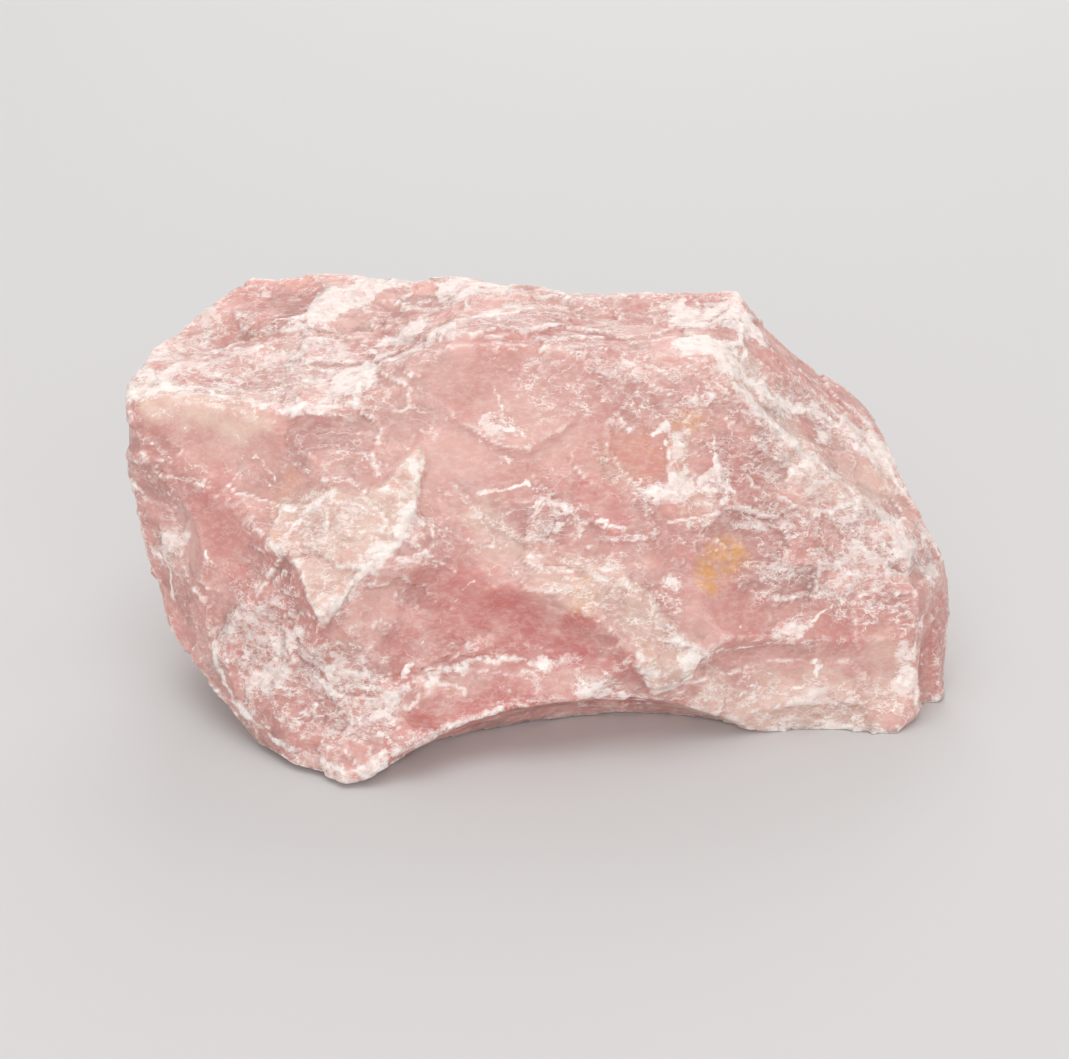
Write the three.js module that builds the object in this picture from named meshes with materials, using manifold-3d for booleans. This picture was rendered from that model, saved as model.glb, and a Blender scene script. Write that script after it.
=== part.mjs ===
// A rough chunk of rose quartz, broken out of a larger mass: one solid stone, 152 mm long.
// Millimetres, +Z up. The stone rests on z = 0, and the origin is the middle of its footprint's box.
// X runs along the stone, and -Y is the broken face that is shown to the viewer.
//
// It is made the way such a chunk comes about: a block with blunt corners is split off the mass, and
// then flakes are knocked off it, each leaving a shallow round hollow with a ridge along its edge.
import * as THREE from "three";
import { ConvexGeometry } from "three/addons/geometries/ConvexGeometry.js";
import { mergeVertices } from "three/addons/utils/BufferGeometryUtils.js";
import Module from "manifold-3d";

const wasm = await Module();
wasm.setup();

const FACET = 9; // edge length of the small facets that a flake's round hollow is made of
const MERGE = 1e-4; // vertices closer than this are one
const ROSE_PINK = 0xdba9a5;

// The block's corners, [x, y, z], in the order that a hand would find them.
const topRim = [
  [-76, 9, 59], [-75, 17, 61], [-61, 30, 65.5], [-50, 34, 72.5], [-25, 34, 73],
  [20, 25, 71], [36, 20, 72], [42, 20, 69], [61, 24, 47.5], [67, 18, 41],
];
const frontRidge = [
  [-75, 4, 57], [-36, -5, 60], [-28, -4, 63], [-17, 2, 69], [10, 4, 69], [29, 0, 67.5],
];
const frontBulge = [
  [-24, -21, 41], [-38, -29, 30], [3, -21, 33], [29, -23, 20], [65, -7, 33], [68, -10, 24],
  [-18, -29, 13], [3, -25, 17],
];
const leftEnd = [
  [-76, 3, 45], [-74, 0, 33], [-73, -2, 24], [-70, -7, 15], [-63, -13, 7], [-55, -21, 1.5],
  [-48, -29, 2],
];
const rightEnd = [
  [72, 12, 35], [76, 5, 27], [76, -1, 12], [76, -5, 0], [70, -15, 3],
];
const base = [
  [-41, -34, 1], [-35.5, -36.5, 1], [-30, -31, 0], [64, -20, 0], [30, -21, 2],
  [61, 22, 2], [44, 28, 0], [4, 34, 3], [-42, 30, 0], [-60, 18, 5],
];
const back = [
  [-70, 22, 32], [-60, 34, 45], [-22, 36.5, 50], [18, 34, 46], [48, 30, 36], [66, 22, 20],
  [-22, 36, 20], [34, 34, 15],
];

// The flake scars. Each is a hollow centred at a point of the block, facing outwards from it, with its
// length, width and depth. Its length lies level, and twist turns it about the way it faces, in degrees.
const flakes = [
  // Top.
  { at: [-54, 10, 64], facing: [-0.15, -0.4, 0.91], length: 50, width: 32, depth: 2, twist: -8 },
  { at: [11, 26, 72], facing: [0.05, 0.4, 0.9], length: 62, width: 36, depth: 3, twist: 0 },
  { at: [50, 20, 59], facing: [0.66, -0.1, 0.75], length: 40, width: 22, depth: 2, twist: 80 },
  // Front, from the left end to the right.
  { at: [-66, -8, 30], facing: [-0.72, -0.68, 0.1], length: 46, width: 24, depth: 1.5, twist: 84 },
  { at: [-4, -4, 60], facing: [0, -0.8, 0.6], length: 34, width: 24, depth: 2.5, twist: -12 },
  { at: [-12, -16, 45], facing: [0.3, -0.85, 0.45], length: 34, width: 25, depth: 3, twist: 78 },
  { at: [-25, -27, 22], facing: [0.1, -0.92, 0.38], length: 36, width: 24, depth: 3, twist: 36 },
  { at: [-1, -25, 26], facing: [-0.05, -0.98, 0.1], length: 50, width: 24, depth: 4, twist: -30 },
  { at: [44, -12, 40], facing: [0.35, -0.8, 0.45], length: 60, width: 36, depth: 2, twist: -35 },
  { at: [52, -19, 10], facing: [0.1, -1, 0.05], length: 56, width: 26, depth: 2, twist: 8 },
  { at: [73, -11, 9], facing: [0.78, -0.62, 0.05], length: 34, width: 11, depth: 2.5, twist: 86 },
  { at: [2, -25, 1], facing: [0.16, -0.62, -0.77], length: 70, width: 44, depth: 9, twist: 0 },
  { at: [38, -21, 0], facing: [-0.1, -0.6, -0.8], length: 46, width: 20, depth: 3, twist: 0 },
  // Back and ends.
  { at: [-20, 35, 60], facing: [0, 0.9, 0.4], length: 64, width: 30, depth: 3, twist: 10 },
  { at: [-42, 34, 28], facing: [-0.15, 1, -0.1], length: 52, width: 36, depth: 3.5, twist: 30 },
  { at: [30, 33, 30], facing: [0.15, 1, 0.1], length: 58, width: 34, depth: 3, twist: -20 },
  { at: [69, 14, 26], facing: [0.85, 0.5, 0.2], length: 38, width: 26, depth: 3, twist: 60 },
  { at: [-74, 14, 42], facing: [-0.9, 0.4, 0], length: 46, width: 24, depth: 3, twist: 75 },
  // Underside, which keeps a flat rim to rest on.
  { at: [-58, 4, 6], facing: [-0.4, -0.1, -0.9], length: 36, width: 26, depth: 2, twist: 40 },
  { at: [4, 12, 0], facing: [0, 0, -1], length: 60, width: 34, depth: 4, twist: 15 },
];

// A closed three.js geometry as a manifold solid.
function solidFrom(geometry) {
  geometry.deleteAttribute("normal");
  geometry.deleteAttribute("uv");
  const merged = mergeVertices(geometry, MERGE);
  const mesh = new wasm.Mesh({
    numProp: 3,
    vertProperties: merged.attributes.position.array,
    triVerts: new Uint32Array(merged.index.array),
  });
  mesh.merge();
  return new wasm.Manifold(mesh);
}

// The block with blunt corners that was split off the mass.
function makeBlock() {
  const corners = [topRim, frontRidge, frontBulge, leftEnd, rightEnd, base, back].flat();
  return solidFrom(new ConvexGeometry(corners.map((c) => new THREE.Vector3(...c))));
}

// The ellipsoid that takes one flake off. Its round section across the scar's width bites to the
// scar's depth, and it is stretched to the scar's length.
function makeFlake({ at, facing, length, width, depth, twist }) {
  const radius = (width ** 2 / 4 + depth ** 2) / (2 * depth);
  const stretch = length / width;
  const outwards = new THREE.Vector3(...facing).normalize();
  const level = new THREE.Vector3(-outwards.y, outwards.x, 0);
  const along = level.lengthSq() > 0.01 ? level.normalize() : new THREE.Vector3(1, 0, 0);
  along.applyAxisAngle(outwards, THREE.MathUtils.degToRad(twist));
  const across = new THREE.Vector3().crossVectors(outwards, along);
  const centre = new THREE.Vector3(...at).addScaledVector(outwards, radius - depth);
  const ball = new THREE.IcosahedronGeometry(radius, Math.round((1.05 * radius * stretch) / FACET));
  ball.scale(stretch, 1, 1);
  ball.applyMatrix4(new THREE.Matrix4().makeBasis(along, across, outwards).setPosition(centre));
  return solidFrom(ball);
}

// A manifold solid as a three.js geometry with flat-shaded facets.
function geometryFrom(solid) {
  const { vertProperties, triVerts } = solid.getMesh();
  const geometry = new THREE.BufferGeometry();
  geometry.setAttribute("position", new THREE.BufferAttribute(vertProperties, 3));
  geometry.setIndex(new THREE.BufferAttribute(triVerts, 1));
  const facetted = geometry.toNonIndexed();
  facetted.computeVertexNormals();
  return facetted;
}

function makeChunk() {
  const solid = flakes.reduce((stone, flake) => stone.subtract(makeFlake(flake)), makeBlock());
  const material = new THREE.MeshStandardMaterial({ color: ROSE_PINK, roughness: 0.5, metalness: 0 });
  const chunk = new THREE.Mesh(geometryFrom(solid), material);
  chunk.name = "rose_quartz_chunk";
  return chunk;
}

const stone = new THREE.Group();
stone.add(makeChunk());

export default stone;
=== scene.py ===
import math

import bpy
import numpy as np
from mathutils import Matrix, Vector, noise


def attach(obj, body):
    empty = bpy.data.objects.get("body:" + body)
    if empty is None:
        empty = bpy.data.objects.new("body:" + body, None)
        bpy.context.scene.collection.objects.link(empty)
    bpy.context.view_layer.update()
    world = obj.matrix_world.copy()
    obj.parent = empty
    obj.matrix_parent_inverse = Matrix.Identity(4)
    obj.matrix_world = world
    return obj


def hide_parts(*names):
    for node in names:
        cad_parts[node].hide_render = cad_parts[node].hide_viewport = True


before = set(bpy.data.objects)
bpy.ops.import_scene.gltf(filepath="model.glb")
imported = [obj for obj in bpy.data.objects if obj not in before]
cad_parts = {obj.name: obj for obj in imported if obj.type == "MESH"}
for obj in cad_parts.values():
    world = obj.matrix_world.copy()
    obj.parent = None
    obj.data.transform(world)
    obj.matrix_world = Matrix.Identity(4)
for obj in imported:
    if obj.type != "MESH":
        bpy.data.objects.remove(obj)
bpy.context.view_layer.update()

# --- The stone: a rough chunk of rose quartz, one piece, broken out of a larger mass by hand. ---
# It starts as the CAD solid. Small flakes are struck off it, its broken faces, chips and grain are
# raised, and the white of its crushed grain is painted on it. Sizes and places are in millimetres.
MERGE = 1e-5  # metres between two vertices that are one
BALL_SUBDIVISIONS = 5


def strike_flake(block, at, facing, length, width, depth, twist):
    """Cuts a shallow round scar into the block at a point, facing outwards, turned by twist degrees."""
    out = Vector(facing).normalized()
    level = Vector((-out.y, out.x, 0)).normalized()
    turn = np.radians(twist)
    along = level * math.cos(turn) + out.cross(level) * math.sin(turn)
    across = out.cross(along)
    radius = (width**2 / 4 + depth**2) / (2 * depth)
    stretch = length / width
    centre = Vector(at) / 1000 + out * (radius - depth) / 1000
    bpy.ops.object.select_all(action="DESELECT")
    bpy.ops.mesh.primitive_ico_sphere_add(subdivisions=BALL_SUBDIVISIONS, radius=radius / 1000)
    ball = bpy.context.active_object
    for vertex in ball.data.vertices:
        x, y, z = vertex.co
        vertex.co = centre + along * x * stretch + across * y + out * z
    cut = block.modifiers.new("flake", "BOOLEAN")
    cut.operation = "DIFFERENCE"
    cut.solver = "EXACT"
    cut.object = ball
    bpy.context.view_layer.objects.active = block
    bpy.ops.object.modifier_apply(modifier=cut.name)
    bpy.data.objects.remove(ball)


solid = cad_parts["rose_quartz_chunk"]
stone = bpy.data.objects.new("stone", solid.data.copy())
bpy.context.scene.collection.objects.link(stone)
bpy.ops.object.select_all(action="DESELECT")
stone.select_set(True)
bpy.context.view_layer.objects.active = stone
bpy.ops.object.mode_set(mode="EDIT")
bpy.ops.mesh.select_all(action="SELECT")
bpy.ops.mesh.remove_doubles(threshold=MERGE)
bpy.ops.object.mode_set(mode="OBJECT")

# Where each is (x, y, z), the way it faces, its length, width and depth, and its twist in degrees.
SMALL_FLAKES = [
    # top, from the left end to the right
    ((-60, 17, 63.5), (-0.25, -0.3, 0.92), 26, 12, 1.3, 15),
    ((-42, 8, 65), (0.12, -0.25, 0.96), 30, 14, 1.1, 18),
    ((-46, 25, 70.5), (-0.3, -0.3, 0.9), 26, 13, 1.4, 30),
    ((-12, 16, 71.5), (0.02, -0.3, 0.95), 30, 11, 1.2, 8),
    ((14, 14, 70), (0.1, -0.25, 0.96), 26, 12, 1.2, -12),
    ((35, 9, 69), (0.3, -0.4, 0.86), 16, 10, 1.2, 20),
    ((47, 4, 54), (0.6, -0.35, 0.72), 30, 9, 1.3, -55),
    ((58, 2, 44), (0.6, -0.4, 0.7), 22, 8, 1.1, -50),
    # middle of the front
    ((-3, -3, 58.5), (0.02, -0.9, 0.42), 26, 15, 0.9, -8),
    ((-16, -8.5, 52.5), (0.02, -0.93, 0.36), 22, 12, 1.4, -28),
    ((-1, -10.5, 48.5), (0, -0.94, 0.34), 24, 8, 1.2, 0),
    ((26, -9.5, 49), (0.35, -0.85, 0.4), 16, 8, 1.0, 80),
    ((10, -13.5, 45), (0, -0.94, 0.34), 13, 6, 1.0, -14),
    ((4, -15, 40), (0.05, -0.93, 0.36), 13, 11, 1.5, -15),
    ((-9, -17, 42), (0.3, -0.9, 0.3), 15, 10, 1.3, 70),
    ((12, -21, 31), (0.25, -0.92, 0.3), 28, 9, 1.1, -42),
    ((24, -22.5, 21.5), (0.3, -0.9, 0.25), 13, 9, 1.3, 20),
    ((13, -25, 15), (0.3, -0.85, -0.4), 13, 9, 1.6, 30),
    ((-6, -25, 21), (0, -0.95, -0.3), 22, 9, 1.2, 14),
    # right of the front
    ((40, -7, 47), (0.2, -0.94, 0.28), 24, 11, 1.3, -42),
    ((50, -7, 40), (0.4, -0.82, 0.4), 22, 9, 1.2, -52),
    ((34, -13, 38), (0.25, -0.93, 0.25), 16, 11, 1.3, 20),
    ((37, -17, 28), (0.25, -0.93, 0.25), 20, 12, 1.4, -20),
    ((48, -14, 27), (0.3, -0.9, 0.3), 17, 9, 1.2, 10),
    ((58, -12, 24), (0.3, -0.9, 0.25), 17, 10, 1.2, 0),
    ((57, -16, 14), (0.25, -0.96, 0.1), 24, 14, 1.4, 5),
    ((39, -18.5, 12), (0.2, -0.96, 0.15), 20, 12, 1.4, -10),
    ((48, -18, 4), (0.1, -0.95, -0.25), 24, 8, 1.3, 4),
    ((72, -9, 10), (0.75, -0.65, 0), 28, 8, 2.2, 86),
    # left of the front, and the left end
    ((-50, -22, 20), (-0.55, -0.77, 0.3), 22, 13, 1.6, 50),
    ((-41, -29, 14), (-0.4, -0.86, 0.3), 17, 11, 1.5, -40),
    ((-32, -32, 11), (0.05, -0.96, 0.25), 17, 10, 1.4, 30),
    ((-41, -33, 5), (-0.4, -0.9, 0.05), 15, 9, 1.3, 8),
    ((-57, -15, 31), (-0.6, -0.78, 0.15), 24, 13, 1.4, 70),
    ((-66, -6, 36), (-0.65, -0.76, 0.05), 22, 13, 1.4, 80),
    ((-62, -6, 47), (-0.45, -0.86, 0.25), 38, 18, 1.5, -45),
    ((-48, -20, 38), (-0.42, -0.86, 0.3), 26, 14, 1.8, -48),
    ((-70, -4, 25), (-0.78, -0.62, 0), 15, 9, 1.5, 60),
    ((-55, -5, 50), (-0.25, -0.84, 0.45), 28, 13, 1.2, -20),
    ((-35, -13, 50), (-0.1, -0.86, 0.48), 20, 11, 1.1, -30),
    ((-39, -20, 40), (-0.15, -0.8, 0.55), 18, 12, 0.9, 25),
    # back
    ((-4, 36, 40), (0.1, 0.97, 0.2), 36, 20, 2.0, 20),
    ((22, 33, 52), (0.2, 0.9, 0.4), 28, 16, 1.8, -30),
    ((49, 27, 28), (0.5, 0.85, 0.1), 26, 15, 1.8, 60),
    ((-60, 30, 30), (-0.5, 0.85, 0), 28, 16, 1.8, 40),
    ((-28, 36, 12), (0, 0.95, -0.3), 30, 14, 1.8, 0),
    ((16, 35, 11), (0.1, 0.95, -0.25), 28, 12, 1.6, 10),
]
for flake in SMALL_FLAKES:
    strike_flake(stone, *flake)

# An even fine mesh, its edges a little worn.
GRAIN = 0.00069  # metres between the finished mesh's vertices
remesh = stone.modifiers.new("grain", "REMESH")
remesh.mode = "VOXEL"
remesh.voxel_size = GRAIN
remesh.use_smooth_shade = True
bpy.ops.object.modifier_apply(modifier=remesh.name)
worn = stone.modifiers.new("worn", "SMOOTH")
worn.factor = 0.5
worn.iterations = 2
bpy.ops.object.modifier_apply(modifier=worn.name)


def read_vertices(what):
    """The vertices' "co" or "normal" as rows of x, y and z."""
    values = np.empty(len(stone.data.vertices) * 3, np.float32)
    stone.data.vertices.foreach_get(what, values)
    return values.reshape(-1, 3).astype(float)


smooth_spots = read_vertices("co")  # before any relief
outward = read_vertices("normal")
count = len(smooth_spots)


def smoothstep(low, high, value):
    """0 up to low and 1 from high, with a smooth ramp between them."""
    t = np.clip((value - low) / (high - low), 0, 1)
    return t * t * (3 - 2 * t)


def cloud(points, size, octaves=3, seed=0.0):
    """Soft noise about -1 to 1 whose lumps are size across."""
    fading, finer = 0.9, 2.1  # from each octave to the next
    lumps = points * (1000 / size) + seed
    return np.array([noise.fractal(Vector(p), fading, finer, octaves) for p in lumps])


def from_line(points, start, end):
    """How far each point is, in metres along x, y and z, from the line between start and end."""
    a, b = np.array(start) / 1000, np.array(end) / 1000
    along = np.clip(((points - a) @ (b - a)) / ((b - a) @ (b - a)), 0, 1)
    return points - a - along[:, None] * (b - a)


def near_line(points, corners, radius, ragged=0.35):
    """1 near the line through corners, falling to 0 at radius, with a ragged border."""
    core = 0.45  # the share of the radius that is 1 all through
    nearest = np.full(len(points), np.inf)
    for start, end in zip(corners[:-1], corners[1:]):
        nearest = np.minimum(nearest, np.linalg.norm(from_line(points, start, end), axis=1))
    return 1 - smoothstep(core, 1.0, nearest * 1000 / radius + ragged * cloud(points, 5, 3, 31.0))


def inside(points, outline, soft, ragged=0.8):
    """1 inside an outline of (x, z) corners on the front, falling to 0 over a ragged border soft wide."""
    x, z = points[:, 0] * 1000, points[:, 2] * 1000
    nearest = np.full(len(points), np.inf)
    within = np.zeros(len(points), bool)
    for (x1, z1), (x2, z2) in zip(outline, outline[1:] + outline[:1]):
        dx, dz = x2 - x1, z2 - z1
        along = np.clip(((x - x1) * dx + (z - z1) * dz) / (dx**2 + dz**2), 0, 1)
        nearest = np.minimum(nearest, np.hypot(x - x1 - along * dx, z - z1 - along * dz))
        if dz:
            within ^= ((z1 > z) != (z2 > z)) & (x < x1 + (z - z1) * dx / dz)
    gap = np.where(within, nearest, -nearest) + ragged * cloud(points, 4, 3, 51.0)
    front = outward[:, 1] < 0.3
    return smoothstep(-soft / 2, soft / 2, gap) * front


# The stone splits along its bedding, which runs along it and a little down to the right, so the
# chips are longer that way.
LEAN = math.radians(14)
ACROSS, DOWN = math.cos(LEAN), math.sin(LEAN)
BEDDING = np.array([[ACROSS, 0, -DOWN], [0, 1, 0], [DOWN, 0, ACROSS]]).T
BEDDING = BEDDING @ np.diag([0.5, 0.9, 1.1])
MIDDLE = Vector((0.5, 0.5, 0.5))  # of the vectors that random_of and cell colours give


def drift(q):
    """A soft random vector at q, each part about -1 to 1."""
    return Vector((noise.noise(q), noise.noise(q + Vector((31, 7, 3))), noise.noise(q + Vector((5, 17, 43)))))


def random_of(centre):
    """A random vector that belongs to a chip's centre, each part 0 to 1."""
    return noise.cell_vector(centre * 17.3)


def knapped(points, size, slope, seed, faces=4):
    """Relief of flat broken faces about size across that meet in ridges."""
    heights = np.empty(len(points))
    for k, p in enumerate(points @ BEDDING * (1000 / size) + seed):
        q = Vector(p)
        q += 0.22 * drift(q * 1.7)
        centres = noise.voronoi(q)[1][:faces]
        heights[k] = min((q - c).dot(random_of(c) - MIDDLE) for c in centres)
    return heights * slope * size


def chipped(points, size, slope, step, seed):
    """Relief and shade of small chips about size across, each with its own tilt, depth and shade."""
    heights = np.empty(len(points))
    shades = np.empty(len(points))
    for k, p in enumerate(points @ BEDDING * (1000 / size) + seed):
        q = Vector(p)
        q += 0.3 * drift(q * 1.3)
        c = noise.voronoi(q)[1][0]
        tilt = random_of(c)
        heights[k] = slope * size * (q - c).dot(tilt - MIDDLE) + step * (tilt.x - 0.5)
        shades[k] = tilt.y
    return heights, shades


# Where the stone broke clean: the points of a line, and a radius round it.
CLEAN = [
    ([(-13, -1, 62), (5, -3, 59)], 10),
    ([(-16, -8, 52), (-6, -10, 49)], 7),
    ([(-13, -20, 30), (3, -22, 25)], 9),
    ([(52, -16, 15), (62, -14, 15)], 9),
    ([(-69, 3, 56), (-50, -4, 53)], 7),
    ([(13, -24, 14), (3, -25, 12)], 5),
    ([(-62, -10, 34), (-58, -13, 40)], 8),
    ([(26, -18, 30), (36, -18, 24)], 8),
    ([(8, -12, 47), (13, -15, 43)], 4),
]
# Where it was crushed: a line, a radius and how much, from 0 to 1.
CRUSHED = [
    ([(-53, -20, 21), (-36, -30, 16)], 14, 1.0),
    ([(-64, 12, 62), (-38, 6, 64)], 16, 0.6),
    ([(-30, 16, 70), (10, 20, 71)], 16, 0.7),
    ([(42, -5, 50), (52, -9, 34)], 12, 0.9),
    ([(60, -10, 32), (66, -6, 30)], 8, 1.0),
]
# Faces with an outline of their own, as (x, z) corners: a flat face like a window, a pale plate that
# stands proud at the left, a pale rib that runs down to the right, the hollow between those two, a
# smooth tongue with a lip under it, and a large chip.
WINDOW = [(12, 56), (22, 57), (22.5, 48), (17, 48), (12, 52.5)]
PLATE = [(-48, 44), (-39, 48), (-32, 47.5), (-27, 50), (-22, 54), (-21, 50), (-23, 45), (-26, 40.5),
         (-31, 37), (-35, 33), (-38, 28.5), (-41, 32), (-44, 37), (-49, 38)]
RIB = [(-4, 36), (-2, 41), (5, 36), (14, 35), (19, 30), (24, 24), (29.5, 19), (25, 14), (20, 11.5),
       (18, 16), (16, 22), (10, 27), (3, 29.5)]
HOLLOW = [(-21, 37), (-13, 36), (-4, 32), (3, 27), (9, 22), (3, 18), (-8, 19), (-18, 16), (-26, 16),
          (-29, 22), (-25, 30)]
TONGUE = [(-19, 63), (-16, 57), (-12, 55), (-9, 53), (-6.5, 52), (-2.5, 52), (0, 53), (3, 54.5),
          (6, 57), (6, 64)]
CHIP = [(-3, 42), (0, 45), (4, 45), (7, 42), (9, 43), (5, 37), (1, 36), (-3, 38)]
window = inside(smooth_spots, WINDOW, 1.0, 0.3)
plate = inside(smooth_spots, PLATE, 1.4)
rib = inside(smooth_spots, RIB, 1.6)
hollow = inside(smooth_spots, HOLLOW, 3.0, 1.5)
tongue = inside(smooth_spots, TONGUE, 1.2, 0.3)
chip = inside(smooth_spots, CHIP, 1.0, 0.4)

clean = window.copy()
for line, radius in CLEAN:
    clean = np.maximum(clean, near_line(smooth_spots, line, radius))
crushed = np.full(count, 0.2)
for line, radius, strength in CRUSHED:
    crushed = np.maximum(crushed, strength * near_line(smooth_spots, line, radius, 0.5))
crushed *= 1 - clean

# The relief: broad faces, then chips and grain, which are stronger where the stone was crushed and
# all but gone where it broke clean.
broad = knapped(smooth_spots, 22, 0.10, 3.7)
middle, middle_shade = chipped(smooth_spots, 7, 0.2, 0.5, 11.0)
small, small_shade = chipped(smooth_spots, 2.6, 0.2, 0.25, 23.0)
fine = cloud(smooth_spots, 1.6, 4, 7.0)
relief = broad * (1 - 0.5 * clean) + middle * (0.65 + 0.4 * crushed) * (1 - 0.9 * clean)
relief += small * (0.16 + 0.5 * crushed) * (1 - 0.95 * clean)
relief += fine * (0.05 + 0.07 * crushed) * (1 - 0.7 * clean)
relief -= relief.mean()

# The outlined faces. Three of them rise out of the stone slowly, from 0 to 1 of their height: the
# plate from its upper left corner, the rib from its left end and the tongue from its top.
PLATE_HEIGHT, RIB_HEIGHT, TONGUE_HEIGHT, CHIP_HEIGHT = 1.3, 1.1, 1.3, 0.6
HOLLOW_DEPTH, WINDOW_DEPTH = 0.7, 0.8
x, z = smooth_spots[:, 0] * 1000, smooth_spots[:, 2] * 1000
plate_rise = np.clip(np.maximum((x + 46) / 16, (42 - z) / 10), 0, 1)
rib_rise = np.clip(x / 24, 0, 1)
tongue_rise = np.clip((61 - z) / 6, 0, 1)
relief += (PLATE_HEIGHT * plate * plate_rise + RIB_HEIGHT * rib * rib_rise
           + TONGUE_HEIGHT * tongue * tongue_rise + CHIP_HEIGHT * chip)
relief -= HOLLOW_DEPTH * hollow + WINDOW_DEPTH * window

# The underside only goes in, so that the stone stands on the floor.
under = (outward[:, 2] < -0.7) & (smooth_spots[:, 2] < 0.002)
relief[under] = -np.abs(relief[under]) * 0.5
spots = smooth_spots + outward * relief[:, None] / 1000
spots[:, 2] = np.maximum(spots[:, 2], 0)
stone.data.vertices.foreach_set("co", spots.astype(np.float32).ravel())
stone.data.update()

# Ridges and hollows of the finished surface, found from how far it stands off its own average.
edges = np.empty(len(stone.data.edges) * 2, np.int32)
stone.data.edges.foreach_get("vertices", edges)
edges = edges.reshape(-1, 2)
neighbours = np.bincount(edges.ravel(), minlength=count)[:, None]


def spread(values, rounds):
    """Averages each vertex's value with its neighbours', that many times."""
    for _ in range(rounds):
        total = np.zeros_like(values)
        np.add.at(total, edges[:, 0], values[edges[:, 1]])
        np.add.at(total, edges[:, 1], values[edges[:, 0]])
        values = 0.5 * values + 0.5 * total / neighbours
    return values


def stands_off(rounds):
    """How far, in millimetres, each vertex stands proud of the average round it."""
    return np.einsum("ij,ij->i", spots - spread(spots, rounds), normals) * 1000


normals = read_vertices("normal")
sharp = stands_off(3)
wide = stands_off(14)
ridge = np.clip(spread(sharp[:, None], 1)[:, 0] / 0.16, -1, 1) * 0.6 + np.clip(wide / 0.5, -1, 1) * 0.6


def paint(name, values):
    """Keeps a value from 0 to 1 on each vertex, for the material to read."""
    layer = stone.data.attributes.new(name, "FLOAT", "POINT")
    layer.data.foreach_set("value", np.clip(values, 0, 1).astype(np.float32))


# Frost is the white of crushed grain. Its patches: a line, a radius and a strength.
FROSTED = [
    # top
    ([(-66, 14, 63), (-40, 6, 65)], 14, 0.56),
    ([(-34, 1, 62), (-32, 7, 67), (-24, 15, 70), (-21, 18, 71)], 5.5, 1.1),
    ([(-41, 19, 69), (-35, 23, 71), (-28, 29, 72)], 5, 1.1),
    ([(-18, 25, 72), (-8, 24, 72)], 5, 1.0),
    ([(-22, 16, 71), (-26, 14, 70)], 6, 0.9),
    ([(-28, 6, 67), (-18, 8, 70)], 3, 0.9),
    ([(-14, 11, 70), (-4, 16, 71)], 3, 0.8),
    ([(0, 8, 69), (30, 14, 71)], 12, 0.36),
    ([(27, 16, 71), (36, 13, 69)], 7, 0.95),
    ([(27, 5, 69), (33, 3, 66)], 5, 0.95),
    ([(36, 5, 65), (38, 1, 60), (50, 8, 55), (60, 10, 46), (66, 10, 38)], 6, 0.8),
    ([(44, 1, 56), (52, -4, 46)], 7, 0.6),
    ([(-75, 8, 58), (-71, 9, 60)], 6, 0.85),
    # front, from the left end to the right
    ([(-70, 8, 60), (-52, 1, 59), (-36, -5, 60)], 3, 0.7),
    ([(-53, -21, 20), (-36, -30, 14)], 13, 0.64),
    ([(-32, -33, 10), (-28, -30, 12)], 5, 0.8),
    ([(-47, -15, 44), (-34, -18, 44)], 5, 0.5),
    ([(-22, -14, 51), (-24.5, -19, 44), (-31, -23, 37), (-37, -26, 30)], 3.0, 0.75),
    ([(-9, -4, 56), (-5, -6, 55)], 3, 0.62),
    ([(2, 1, 64), (26, -3, 62)], 10, 0.42),
    ([(19, -12, 47), (31, -9, 47)], 3.5, 0.8),
    ([(24, -6, 56), (25, -9, 50)], 3.5, 0.6),
    ([(28, -12, 43), (36, -11, 42)], 4, 0.6),
    ([(0, -13, 43), (2, -16, 38)], 5, 0.5),
    ([(5, -19, 36), (20, -22, 27)], 7, 0.4),
    ([(24, -22, 22), (27, -22, 17)], 4, 0.9),
    ([(23, -18, 32.3), (23.4, -18, 32)], 2.6, 1.0),
    ([(42, -5, 50), (58, -10, 32)], 15, 0.56),
    ([(60, -4, 34), (70, 0, 27)], 8, 0.78),
    ([(7, -25, 15), (14, -25, 13)], 3, 0.9),
    ([(30, -20, 8), (60, -17, 4)], 8, 0.52),
    ([(44, -14, 34), (60, -11, 26)], 10, 0.5),
    ([(67, -15, 16), (67, -15, 9)], 4, 0.7),
    ([(43, -19, 20), (47, -16, 22)], 3.5, 0.8),
    ([(-70, 0, 30), (-66, -5, 34)], 3, 0.7),
]
# There is a little frost all over, and more on ridges, on crushed patches and on the plate. There is
# less where the stone broke clean and on the window, and clouds on the back. Faces that look up get a
# little more white, which is painted light from above.
frost_and_top_light = 0.14 + 0.25 * crushed + 0.4 * np.clip(ridge, -0.3, 1) - 0.14 * clean
for line, radius, strength in FROSTED:
    frost_and_top_light = np.maximum(frost_and_top_light, (strength + 0.25 * ridge) * near_line(smooth_spots, line, radius, 0.5))
frost_and_top_light = np.maximum(frost_and_top_light, 0.3 * plate)
frost_and_top_light -= 0.3 * window
frost_and_top_light += 0.3 * smoothstep(0.1, 0.7, cloud(spots, 22, 3, 91.0)) * smoothstep(0.1, 0.5, normals[:, 1])
# Painted light from above: faces that look up are made a little whiter.
frost_and_top_light += 0.04 * smoothstep(0.2, 0.9, normals[:, 2])
paint("frost_and_top_light", frost_and_top_light)
paint("rim", smoothstep(0.03, 0.12, sharp) * (1 - 0.5 * clean))
paint("tone", 0.5 + (0.6 * (middle_shade - 0.5) + 0.4 * (small_shade - 0.5)) * (1 - 0.85 * clean))
paint("broken", 0.4 + 0.6 * crushed - 0.38 * clean)

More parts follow.
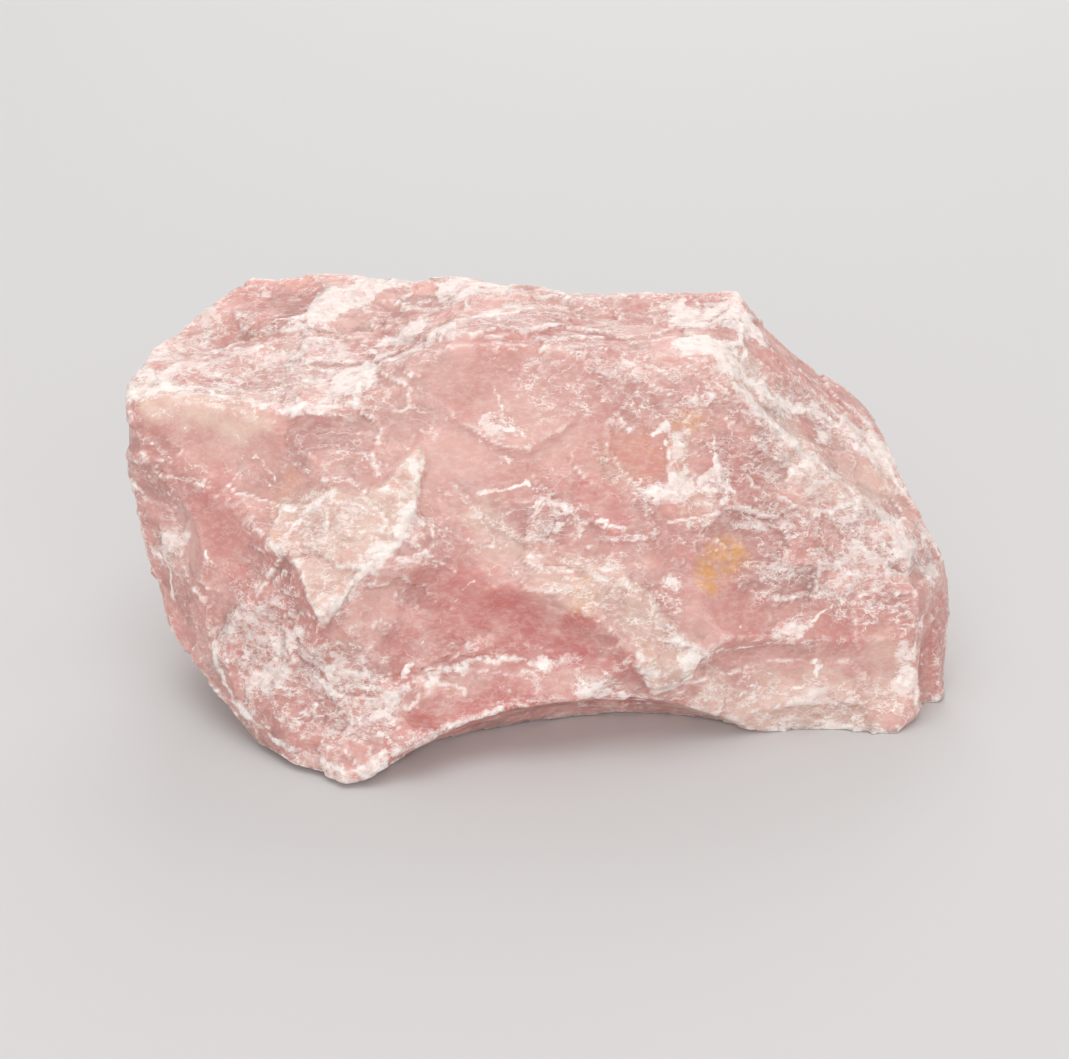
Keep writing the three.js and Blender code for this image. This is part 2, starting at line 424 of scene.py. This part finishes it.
# Thin white lines: the edges of chips and healed cracks. Each has its points and its width.
SEAMS = [
    ([(-74, 6, 58), (-66, 6, 59), (-57, 3, 59), (-46, -2, 59), (-36, -5, 60), (-33, -5, 61)], 0.9),
    ([(-33, -5, 61), (-34, 2, 63), (-31, 11, 69), (-22, 18, 71)], 1.2),
    ([(-30, 6, 66), (-21, 6, 69), (-14, 11, 70)], 0.8),
    ([(-62, 16, 63), (-50, 13, 64)], 0.8),
    ([(-48, 19, 68), (-41, 17, 69)], 1.0),
    ([(-14, 11, 70), (-4, 16, 71), (8, 16, 71)], 0.7),
    ([(-47, -14, 45), (-39, -14, 48), (-32, -17, 46), (-28, -19, 44)], 0.6),
    ([(-22, -12, 53), (-21.5, -14, 50), (-23.5, -18, 45), (-26.5, -21, 40.5), (-31, -24, 37),
      (-35, -26, 33), (-38, -27, 29)], 1.2),
    ([(-48, -20, 37), (-46, -17, 42), (-39, -14, 47)], 0.8),
    ([(-56, -4, 55), (-51, -8, 51), (-49, -10, 49)], 0.4),
    ([(-48, -21, 35), (-51, -20, 31), (-50, -22, 27)], 0.6),
    ([(-71, -1, 30), (-64, -7, 35), (-64, -7, 38)], 0.9),
    ([(-71, -2, 29), (-69, -4, 25), (-68, -5, 21)], 0.8),
    ([(-61, -11, 34), (-59, -14, 31)], 0.5),
    ([(-60, -16, 18), (-60, -16, 13), (-57, -20, 9), (-49, -27, 5), (-43, -32, 4), (-35, -36, 3),
      (-28, -34, 6)], 0.9),
    ([(-43, -30, 13), (-40, -32, 11), (-40, -33, 7)], 0.5),
    ([(-40, -32, 11), (-35, -31, 13)], 0.7),
    ([(-32, -32, 11), (-23, -29, 13), (-13, -26, 18), (-4, -23, 19.5), (2, -23, 18),
      (5, -23, 19)], 1.2),
    ([(-25, -27, 16), (-22, -24, 21), (-17, -22, 28), (-12, -20, 34)], 0.25),
    ([(-18, -13, 52), (-16, -13, 48), (-11, -11, 47), (-3, -10, 48), (1, -12, 45)], 0.5),
    ([(-11, -11, 47), (-10, -13, 43), (-9, -16, 39)], 0.4),
    ([(-8, 0, 62), (-7, -3, 58), (-4, -6, 55)], 0.6),
    ([(-12, -6, 55), (-9, -8, 53), (-6, -9, 52), (-2, -9, 52), (3, -6, 54)], 0.45),
    ([(11, -5, 57), (15, -7, 57), (22, -6, 57), (22.5, -9, 51), (23, -10, 48)], 0.8),
    ([(18, -12, 47), (27, -10, 47), (32, -9, 47), (38, -11, 41)], 0.9),
    ([(30, -6, 55), (32, -9, 47)], 0.5),
    ([(-3, -13, 42), (0, -12, 45), (4, -13, 45), (7, -16, 41), (9, -15, 43), (15, -15, 41)], 0.7),
    ([(-3, -13, 42), (-1, -16, 39), (-3, -17, 37), (0, -17, 36), (3, -15, 42)], 0.6),
    ([(1, -17, 36), (6, -20, 34), (14, -21, 32)], 0.4),
    ([(21, -23, 11), (26, -22, 14), (29, -22, 19)], 0.8),
    ([(30, -22, 19), (38, -20, 18), (45, -18, 19), (47, -16, 23), (56, -13, 25)], 0.5),
    ([(6, -24, 17), (8, -25, 14), (11, -26, 13), (18, -25, 10)], 0.9),
    ([(50, -17, 16), (50, -17, 11), (46, -18, 10)], 0.5),
    ([(32, 16, 71), (36, 12, 69), (36, 4, 64), (43, 4, 58), (53, 9, 52), (60, 10, 46),
      (66, 10, 38)], 0.9),
    ([(73, -1, 24), (71, -6, 21), (69, -11, 18), (68, -14, 11), (69, -14, 4)], 0.7),
]
# The distance to the nearest one is measured along the surface, in its widths, from spots that
# wander a little, so that the lines aren't straight.
FAR = 9.0
WANDER = 0.0016  # metres
THICK = 0.005  # metres under or over a line past which it isn't on this surface
wander = np.array([drift(p) + 0.5 * drift(p * 3) for p in map(Vector, spots * 230)])
wandered = smooth_spots + WANDER * wander
seam = np.full(count, FAR)
for line, width in SEAMS:
    for start, end in zip(line[:-1], line[1:]):
        apart = from_line(wandered, start, end)
        rise = np.einsum("ij,ij->i", apart, outward)
        beside = np.linalg.norm(apart - rise[:, None] * outward, axis=1) * 1000
        beside[np.abs(rise) > THICK] = FAR
        seam = np.minimum(seam, beside / width)
paint("seam", seam / FAR)

# Patches of other colours: creamy, deep pink and stained with iron. A line, a radius and a strength.
CREAM = [
    ([(-70, 5, 58), (-52, -1, 56)], 5, 0.8),
    ([(25, -8, 54), (28, -12, 44)], 4, 0.4),
    ([(30, -18, 8), (58, -16, 6)], 8, 0.55),
    ([(46, 0, 54), (52, -5, 45), (62, 4, 41)], 7, 0.5),
    ([(62, -14, 15), (66, -14, 10)], 6, 0.5),
    ([(30, 4, 67), (36, 4, 63)], 6, 0.5),
    ([(-9, -14, 44), (-6, -17, 38)], 5, 0.5),
]
DEEP = [
    ([(-60, -10, 42), (-56, -15, 34)], 9, 0.45),
    ([(14, -25, 18), (17, -25, 16)], 4, 0.7),
    ([(-22, -29, 7), (0, -23, 8), (24, -19, 5)], 9, 0.9),
    ([(-42, -24, 27), (-50, -20, 32)], 8, 0.4),
    ([(33, -8, 50), (38, -8, 46)], 6, 0.5),
    ([(8, -12, 47), (13, -15, 43)], 5, 0.6),
    ([(28, -17, 33), (36, -19, 24)], 7, 0.4),
    ([(48, 14, 58), (60, 17, 48)], 6, 0.45),
    ([(75, -3, 20), (72, -10, 8)], 5, 0.6),
    ([(52, -16, 20), (56, -15, 19)], 4, 0.4),
    ([(-8, -22, 28), (4, -23, 22)], 7, 1.0),
    ([(2, 10, 70), (14, 16, 71)], 6, 0.35),
]
STAINED = [
    ([(28.5, -16, 32.5), (32.5, -15, 35), (34.5, -14, 36)], 4.2, 1.0),
    ([(25, -5, 58), (28, -4, 57)], 3, 0.5),
    ([(6, -21, 30), (8, -20, 31)], 3, 0.35),
    ([(-46, -12, 48), (-47, -16, 43)], 4, 0.3),
    ([(12, -8, 52), (22, -8, 52)], 6, 0.2),
]
cream, deep, stain = (np.zeros(count) for _ in range(3))
for amount, patches in ((cream, CREAM), (deep, DEEP), (stain, STAINED)):
    for line, radius, strength in patches:
        np.maximum(amount, strength * near_line(smooth_spots, line, radius, 0.5), out=amount)
cream = np.maximum(cream, np.maximum(plate * (0.45 + 0.35 * plate_rise), rib * (0.4 + 0.3 * rib_rise)))
paint("cream", cream)
deep = np.maximum(deep, np.maximum(0.68 * hollow, 0.45 * window))
paint("deep", deep * (1 - plate) * (1 - rib))
paint("stain", stain)

# The quartz: cloudy pink that light goes a little way into, under white flecks, threads and seams.
quartz = bpy.data.materials.new("rose_quartz")
quartz.use_nodes = True
tree = quartz.node_tree
shader = tree.nodes["Principled BSDF"]
place = tree.nodes.new("ShaderNodeTexCoord").outputs["Object"]


def node(kind, inputs=(), **settings):
    """A new shader node with those settings, its inputs set to values or linked to sockets."""
    made = tree.nodes.new("ShaderNode" + kind)
    for name, value in settings.items():
        setattr(made, name, value)
    for socket, value in dict(inputs).items():
        if isinstance(value, bpy.types.NodeSocket):
            tree.links.new(value, made.inputs[socket])
        else:
            made.inputs[socket].default_value = value
    return made


def band(value, low, high, to_low=0.0, to_high=1.0):
    """value from low to high becomes to_low to to_high, smoothly."""
    return node("MapRange", {"Value": value, "From Min": low, "From Max": high, "To Min": to_low,
                             "To Max": to_high}, interpolation_type="SMOOTHSTEP").outputs["Result"]


def plus(a, b):
    return node("Math", {0: a, 1: b}, operation="ADD").outputs[0]


def minus(a, b):
    return node("Math", {0: a, 1: b}, operation="SUBTRACT").outputs[0]


def times(a, b):
    return node("Math", {0: a, 1: b}, operation="MULTIPLY").outputs[0]


def most(first, *others):
    """The largest of several values."""
    for other in others:
        first = node("Math", {0: first, 1: other}, operation="MAXIMUM").outputs[0]
    return first


def vectors(operation, a, b):
    return node("VectorMath", {0: a, 1: b}, operation=operation).outputs[0]


def scaled(vector, scale):
    return node("VectorMath", {0: vector, "Scale": scale}, operation="SCALE").outputs[0]


def painted(name):
    return node("Attribute", attribute_name=name).outputs["Fac"]


def grain(size, detail=4.0, roughness=0.55, where=place):
    """Noise from 0 to 1 whose lumps are about size across."""
    return node("TexNoise", {"Vector": where, "Scale": 1000 / size, "Detail": detail,
                             "Roughness": roughness}).outputs["Fac"]


def blend(amount, under, over):
    """The colour over laid on the colour under."""
    mixed = node("Mix", data_type="RGBA")
    for socket, value in ((0, amount), (6, under), (7, over)):
        if isinstance(value, bpy.types.NodeSocket):
            tree.links.new(value, mixed.inputs[socket])
        else:
            mixed.inputs[socket].default_value = value
    return mixed.outputs[2]


PINK = (0.60, 0.295, 0.262, 1)
PALE_PINK = (0.69, 0.41, 0.365, 1)
DEEP_PINK = (0.55, 0.18, 0.165, 1)
CREAM_WHITE = (0.76, 0.57, 0.48, 1)
IRON = (0.70, 0.35, 0.13, 1)
FROST_WHITE = (0.97, 0.90, 0.86, 1)

# The body's colour: pink and pale pink in clouds, each chip its own shade, then the patches.
colour = blend(band(grain(16), 0.35, 0.65), PINK, PALE_PINK)
colour = scaled(colour, band(painted("tone"), 0, 1, 0.84, 1.14))
colour = blend(times(painted("deep"), band(grain(6), 0.2, 0.6)), colour, DEEP_PINK)
colour = blend(times(painted("cream"), band(grain(4), 0.25, 0.6, 0.4, 1)), colour, CREAM_WHITE)
colour = blend(times(painted("stain"), band(grain(2.2), 0.25, 0.65)), colour, IRON)

# Grain drawn out along the bedding, and how much of the surface the frost and painted top light cover.
bedded = node("Mapping", {"Vector": place, "Rotation": (0, LEAN, 0), "Scale": (0.55, 1, 1)}).outputs[0]
frosting_and_top_light = painted("frost_and_top_light")
cover = times(frosting_and_top_light, band(grain(5, 3, 0.6, bedded), 0.34, 0.62, 0.45, 1.15))
cover = most(cover, band(frosting_and_top_light, 0.75, 1.0, 0, 0.95))
bar = node("MapRange", {"Value": cover, "To Min": 0.74, "To Max": 0.38}).outputs["Result"]
speckle = grain(0.9, 5, 0.7, bedded)


def threads(size, thickness):
    """Thin winding lines about size apart: the contour of a soft noise."""
    offset = minus(grain(size, 4, 0.62, bedded), 0.5)
    return band(node("Math", {0: offset}, operation="ABSOLUTE").outputs[0], 0.0, thickness, 1, 0)


# White threads: the coarse ones run everywhere, and the finest only under heavy frost.
coarse = times(threads(4.5, 0.022), band(cover, 0.03, 0.35, 0.2, 1))
broken_up = band(grain(1.8, 3, where=bedded), 0.44, 0.54)
close = times(times(threads(2.2, 0.035), broken_up), band(cover, 0.12, 0.45))
tiny = times(threads(1.0, 0.055), band(cover, 0.3, 0.65))
lines = times(most(coarse, close, tiny), 0.85)

# White flecks and patches where the noise stands over the bar, which frost lowers.
flecks = times(band(minus(grain(1.6, 6, 0.7, bedded), bar), 0.0, 0.07), 0.85)
patches = times(band(minus(grain(5, 7, 0.68, bedded), bar), 0.02, 0.08), 0.6)

# The seams, frayed by noise, the chips' rims, a thin haze of powder, and single white specks.
frayed = plus(times(painted("seam"), FAR), times(grain(1.5, 5, 0.7), 2.6))
seams = times(band(frayed, 1.6, 2.3, 1, 0), band(grain(4, 3), 0.36, 0.54, 0.3, 1))
rims = times(painted("rim"), band(grain(2, 4, 0.6), 0.4, 0.6))
haze = times(band(speckle, 0.42, 0.72), band(cover, 0, 0.7, 0.2, 0.6))
cells = node("TexVoronoi", {"Vector": place, "Scale": 1000 / 3.6})
from_cell = plus(cells.outputs["Distance"], times(grain(0.5, 3, 0.7), 0.6))
specks = times(band(from_cell, 0.33, 0.44, 1, 0), band(cells.outputs["Color"], 0.45, 0.7, 0, 0.85))

white = most(lines, flecks, patches, seams, rims, haze, specks)
white = times(white, band(speckle, 0.3, 0.58, 0.6, 1))
colour = blend(white, colour, FROST_WHITE)

# Clean quartz is smoother than its white powder, and light goes deeper into it.
tree.links.new(colour, shader.inputs["Base Color"])
tree.links.new(band(white, 0, 1, 0.34, 0.62), shader.inputs["Roughness"])
tree.links.new(band(white, 0, 0.8, 0.6, 0.12), shader.inputs["Subsurface Weight"])
shader.inputs["IOR"].default_value = 1.54
shader.inputs["Subsurface Radius"].default_value = (1.0, 0.45, 0.4)
shader.inputs["Subsurface Scale"].default_value = 0.005


def facets(size):
    """Height of tiny flat facets about size across, each tilted its own way."""
    wobble = node("TexNoise", {"Vector": place, "Scale": 700 / size}).outputs["Color"]
    where = vectors("ADD", place, scaled(wobble, 0.0008 * size / 2))
    cells = node("TexVoronoi", {"Vector": where, "Scale": 1000 / size})
    away = vectors("SUBTRACT", where, cells.outputs["Position"])
    tilt = vectors("SUBTRACT", cells.outputs["Color"], MIDDLE)
    return node("VectorMath", {0: away, 1: tilt}, operation="DOT_PRODUCT").outputs["Value"]


# The relief that is too fine for the mesh: facets, and the powder, which stands a little proud.
POWDER_HEIGHT, GRAIN_HEIGHT = 0.00008, 0.00004  # metres
heights = times(plus(times(facets(3.1), 0.7), times(facets(1.2), 0.45)), painted("broken"))
heights = plus(heights, times(white, POWDER_HEIGHT))
heights = plus(heights, times(grain(0.6, 3, 0.6), GRAIN_HEIGHT))
bump = node("Bump", {"Strength": 1.0, "Distance": 1.0, "Height": heights})
tree.links.new(bump.outputs["Normal"], shader.inputs["Normal"])

stone.data.materials.clear()
stone.data.materials.append(quartz)
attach(stone, "root")
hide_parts("rose_quartz_chunk")

# --- The floor: a plain pale board that the stone stands on. ---
# It is one flat sheet, wide enough to reach past the edge of every view.
FLOOR_SIDE = 6  # metres
bpy.ops.object.select_all(action="DESELECT")
bpy.ops.mesh.primitive_plane_add(size=FLOOR_SIDE)
floor = bpy.context.active_object
floor.name = "floor"
board = bpy.data.materials.new("pale_board")
board.use_nodes = True
surface = board.node_tree.nodes["Principled BSDF"]
surface.inputs["Base Color"].default_value = (0.62, 0.61, 0.61, 1)
surface.inputs["Roughness"].default_value = 0.9
floor.data.materials.append(board)

# --- The lights: three soft lamps and a pale room. ---
# They all face the stone, and the one in front is the broadest. Places and sizes are in metres and
# powers in watts.
LAMPS = [
    ("above", (-0.1, -0.15, 0.95), 0.7, 2.9),
    ("front", (0.05, -1.05, 0.25), 1.3, 7.5),
    ("behind", (0.1, 0.8, 0.6), 0.7, 3.0),
]
LIT_SPOT = Vector((0, 0, 0.03))  # near the middle of the stone
for name, spot, size, power in LAMPS:
    lamp = bpy.data.lights.new(name, "AREA")
    lamp.size = size
    lamp.energy = power
    holder = bpy.data.objects.new(name, lamp)
    holder.location = spot
    holder.rotation_euler = (LIT_SPOT - Vector(spot)).to_track_quat("-Z", "Y").to_euler()
    bpy.context.scene.collection.objects.link(holder)
room = bpy.data.worlds.new("room")
room.use_nodes = True
walls = room.node_tree.nodes["Background"]
walls.inputs["Color"].default_value = (0.98, 0.97, 0.95, 1)
walls.inputs["Strength"].default_value = 0.65
bpy.context.scene.world = room

# --- The camera: in front of the stone and well above it, looking down at it. ---
# Its place is in metres and its lens in millimetres. Colours are shown as they are, with no film look.
LOOKS_DOWN = 28  # degrees
lens = bpy.data.cameras.new("camera")
lens.lens = 88.4
lens.sensor_width = 36
camera = bpy.data.objects.new("camera", lens)
camera.location = (-0.0015, -0.4273, 0.2603)
camera.rotation_euler = (math.radians(90 - LOOKS_DOWN), 0, 0)
bpy.context.scene.collection.objects.link(camera)
bpy.context.scene.camera = camera
bpy.context.scene.view_settings.view_transform = "Standard"
